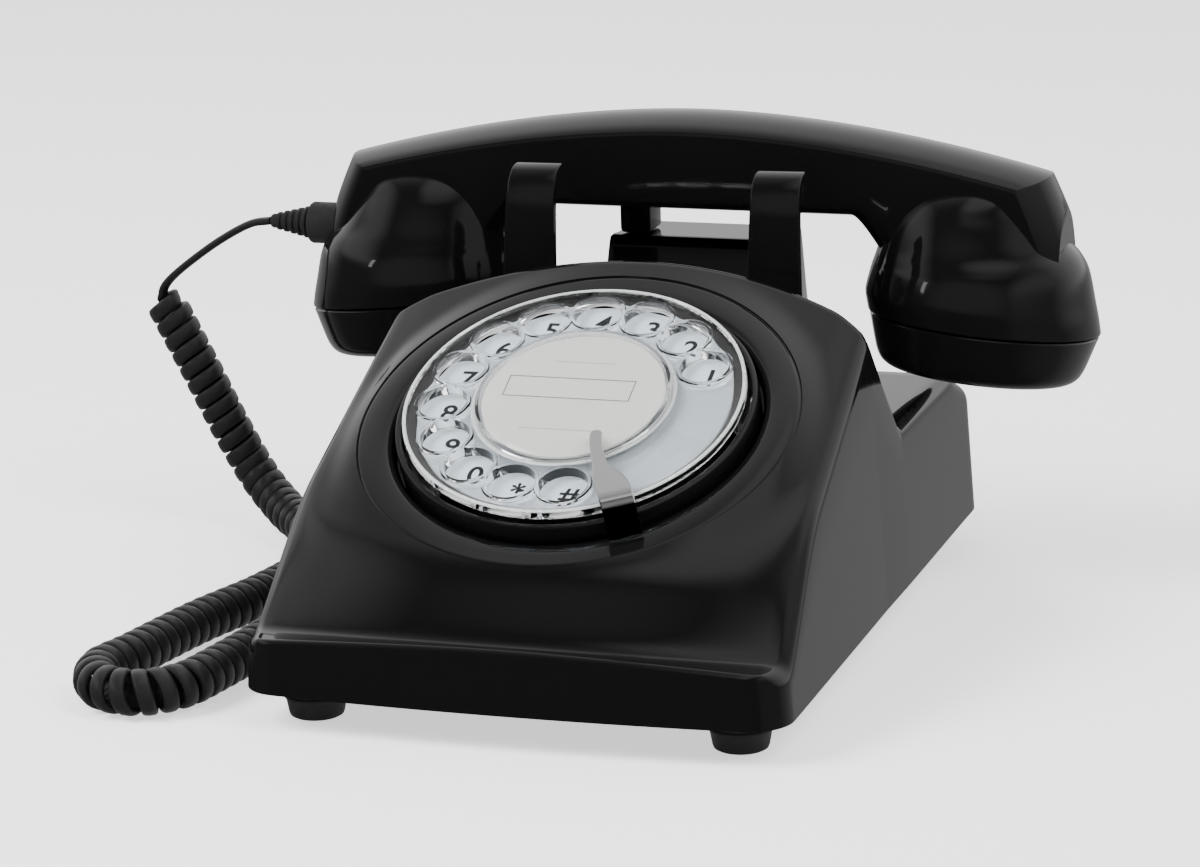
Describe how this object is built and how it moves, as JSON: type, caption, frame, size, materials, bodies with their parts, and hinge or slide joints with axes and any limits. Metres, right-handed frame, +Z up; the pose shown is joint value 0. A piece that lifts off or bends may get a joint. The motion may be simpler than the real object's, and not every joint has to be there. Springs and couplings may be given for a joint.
{
  "type": "rotary dial desk telephone",
  "caption": "Desk telephone with a wedge-shaped case, a tilted rotary dial under a finger wheel, a two-cup handset across a horned cradle and a curly cord.",
  "frame": {"origin": "on the table under the middle of the case and handset, without the cord", "axes": "+Z up, the dial faces -Y, +X to the right as seen by the user, along the handset"},
  "size_m": [0.3004, 0.2356, 0.1383],
  "materials": {
    "gloss_black": "polished black moulding",
    "satin_black": "satin black sheath and mouldings",
    "soft_rubber": "matt black rubber",
    "clear_acrylic": "clear moulded acrylic",
    "pale_plate": "pale blue-grey printed plate",
    "card_paper": "off-white card",
    "bright_steel": "plated steel strip",
    "zinc_steel": "zinc-plated steel",
    "brass_metal": "bare brass",
    "board_green": "green circuit board"
  },
  "bodies": {
    "base": {"housing": "gloss_black", "base_plate": "zinc_steel", "base_screw_1": "zinc_steel", "base_screw_2": "zinc_steel", "base_screw_3": "zinc_steel", "base_screw_4": "zinc_steel", "foot_1": "soft_rubber", "foot_2": "soft_rubber", "foot_3": "soft_rubber", "foot_4": "soft_rubber", "horn_left": "gloss_black", "horn_right": "gloss_black", "rest_left": "gloss_black", "rest_right": "gloss_black", "dial_cup": "gloss_black", "number_plate": "pale_plate", "plate_spacer": "zinc_steel", "finger_stop": "bright_steel", "circuit_board": "board_green", "ringer_coil": "zinc_steel", "speech_transformer": "zinc_steel", "gong_post_left": "zinc_steel", "gong_post_right": "zinc_steel", "gong_left": "brass_metal", "gong_right": "brass_metal", "handset_socket": "satin_black", "line_socket": "satin_black", "cord_plug": "clear_acrylic", "cord_tail": "satin_black", "cord_coil": "satin_black"},
    "dial": {"finger_wheel": "clear_acrylic", "name_card": "card_paper", "card_cover": "clear_acrylic", "dial_hub": "zinc_steel", "main_gear": "brass_metal"},
    "governor": {"governor": "brass_metal"},
    "handset": {"handle": "gloss_black", "ear_cap": "gloss_black", "mouth_cap": "gloss_black", "receiver_capsule": "zinc_steel", "microphone_capsule": "zinc_steel", "cord_boot": "soft_rubber", "cord_lead": "satin_black"},
    "hook": {"plunger_left": "satin_black", "plunger_right": "satin_black"},
    "clapper": {"clapper_ball": "brass_metal", "clapper_arm": "zinc_steel"}
  },
  "joints": [
    {"name": "dial_turn", "type": "hinge", "parent": "base", "child": "dial", "pos_m": [0, -0.04975, 0.0799], "axis": [0, -0.4384, 0.8988], "range_deg": [-330, 0], "stiffness_Nm_per_rad": 0.01, "springref_deg": 28.65},
    {"name": "governor_turn", "type": "hinge", "parent": "base", "child": "governor", "pos_m": [0.0283, -0.04975, 0.0799], "axis": [0, -0.4384, 0.8988], "range_deg": [0, 1980]},
    {"name": "handset_lift", "type": "slide", "parent": "base", "child": "handset", "axis": [0, 0, 1], "range_m": [0, 0.08]},
    {"name": "hook_travel", "type": "slide", "parent": "base", "child": "hook", "axis": [0, 0, 1], "range_m": [0, 0.005]},
    {"name": "clapper_swing", "type": "hinge", "parent": "base", "child": "clapper", "pos_m": [0, 0.07075, 0.0458], "axis": [0, 0, 1], "range_deg": [-8, 8]}
  ],
  "couplings": [
    {"joint": "governor_turn", "follows": "dial_turn", "ratio": -6},
    {"joint": "hook_travel", "follows": "handset_lift", "ratio": 0.0625}
  ]
}
